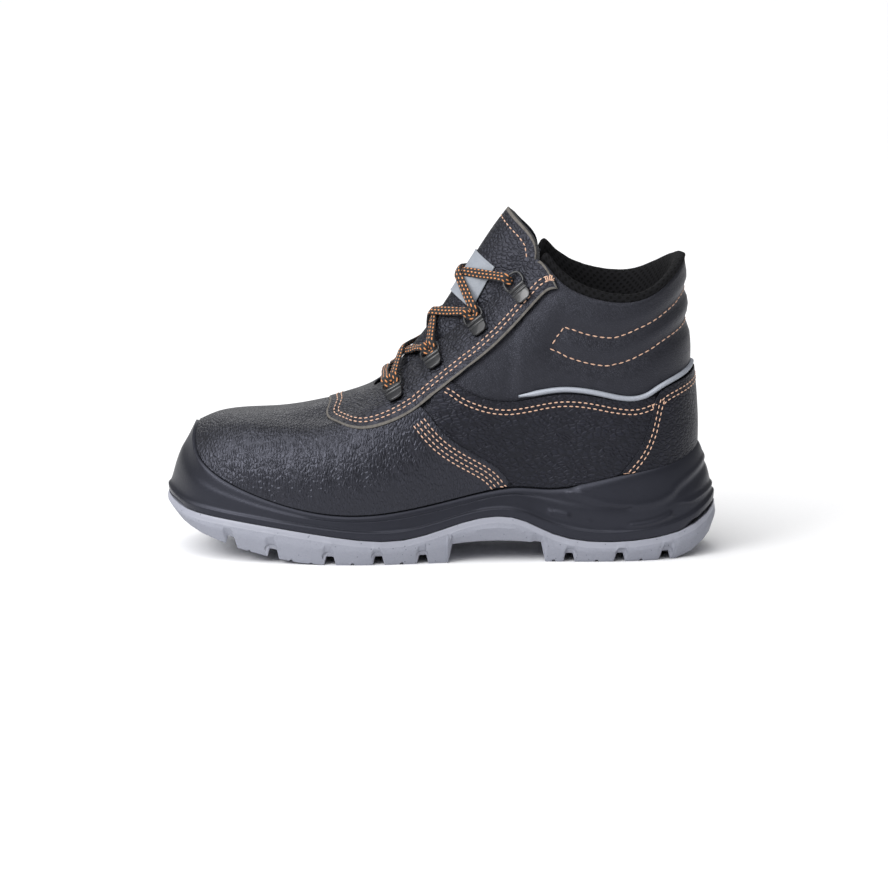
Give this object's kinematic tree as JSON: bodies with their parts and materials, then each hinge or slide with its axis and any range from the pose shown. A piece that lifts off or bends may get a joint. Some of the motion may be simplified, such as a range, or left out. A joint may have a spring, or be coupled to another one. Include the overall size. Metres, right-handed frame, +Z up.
{
  "type": "high-top safety shoe",
  "caption": "Left high-top safety shoe: hollow black leather upper with padded collar, crossed lacing through rings, black bumper midsole and grey treaded outsole.",
  "frame": {"origin": "on the floor under the middle of the shoe's bounding box", "axes": "+Z up, toe along -X, outer side of the foot along -Y"},
  "size_m": [0.3006, 0.1062, 0.1891],
  "materials": {
    "grey_rubber": "matt moulded grey rubber",
    "black_polyurethane": "satin moulded black polyurethane",
    "lining_mesh": "open spacer mesh",
    "smooth_leather": "fine-grained soft leather",
    "grained_leather": "pebbled semi-gloss leather",
    "reflective_piping": "silver reflective cord",
    "lace_braid": "black braid flecked with orange",
    "ring_enamel": "satin black enamel"
  },
  "bodies": {
    "root": {"outsole": "grey_rubber", "midsole": "black_polyurethane", "insole": "lining_mesh", "upper": "smooth_leather", "tongue": "grained_leather", "vamp": "grained_leather", "quarter_outer": "grained_leather", "quarter_inner": "grained_leather", "counter": "grained_leather", "eyestay": "grained_leather", "piping": "reflective_piping", "lace": "lace_braid", "ring_outer_1": "ring_enamel", "ring_outer_2": "ring_enamel", "ring_outer_3": "ring_enamel", "ring_outer_4": "ring_enamel", "ring_inner_1": "ring_enamel", "ring_inner_2": "ring_enamel", "ring_inner_3": "ring_enamel", "ring_inner_4": "ring_enamel"}
  },
  "joints": []
}
